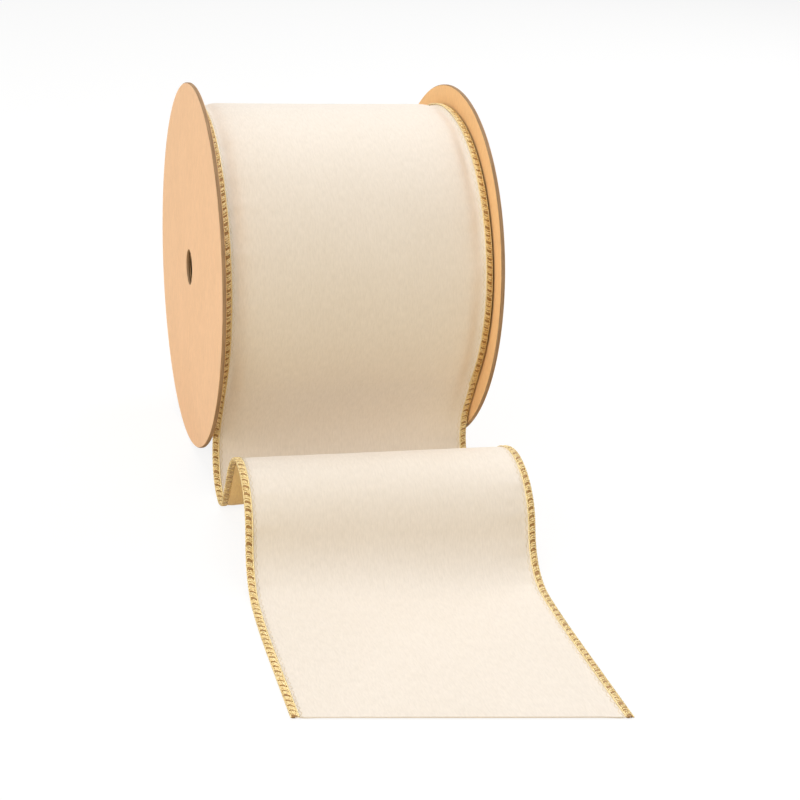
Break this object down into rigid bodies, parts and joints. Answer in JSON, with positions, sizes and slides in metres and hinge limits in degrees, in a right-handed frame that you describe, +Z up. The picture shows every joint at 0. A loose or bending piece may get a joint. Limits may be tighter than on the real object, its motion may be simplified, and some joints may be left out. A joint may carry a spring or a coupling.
{
  "type": "ribbon spool",
  "caption": "Wired satin ribbon with overlocked gold edges wound on a cardboard reel with kraft-lined flanges, its loose end drawn off over the table in a wave.",
  "frame": {"origin": "middle of the reel, on the axis of its centre hole", "axes": "+X along the reel's axis to the right, +Y away from the drawn-off ribbon, +Z up; the table is one flange radius below the origin"},
  "size_m": [0.1085, 0.2971, 0.142],
  "materials": {
    "chipboard": "matte",
    "kraft": "matte",
    "tube": "matte",
    "glue": "satin",
    "satin": "satin",
    "gold_thread": "metallic",
    "wire": "satin"
  },
  "bodies": {
    "tail": {"tail_satin": "satin", "tail_edge_left": "gold_thread", "tail_edge_right": "gold_thread", "tail_wire_left": "wire", "tail_wire_right": "wire"},
    "reel": {"flange_board_left": "chipboard", "flange_board_right": "chipboard", "liner_outer_left": "kraft", "liner_outer_right": "kraft", "liner_inner_left": "kraft", "liner_inner_right": "kraft", "core_tube": "tube", "glue_left": "glue", "glue_right": "glue", "ribbon_pack": "satin", "wrap_satin": "satin", "wrap_edge_left": "gold_thread", "wrap_edge_right": "gold_thread", "wrap_wire_left": "wire", "wrap_wire_right": "wire"}
  },
  "joints": [
    {"name": "reel_turn", "type": "hinge", "parent": "tail", "child": "reel", "pos_m": [0, 0, 0], "axis": [1, 0, 0], "continuous": true}
  ]
}
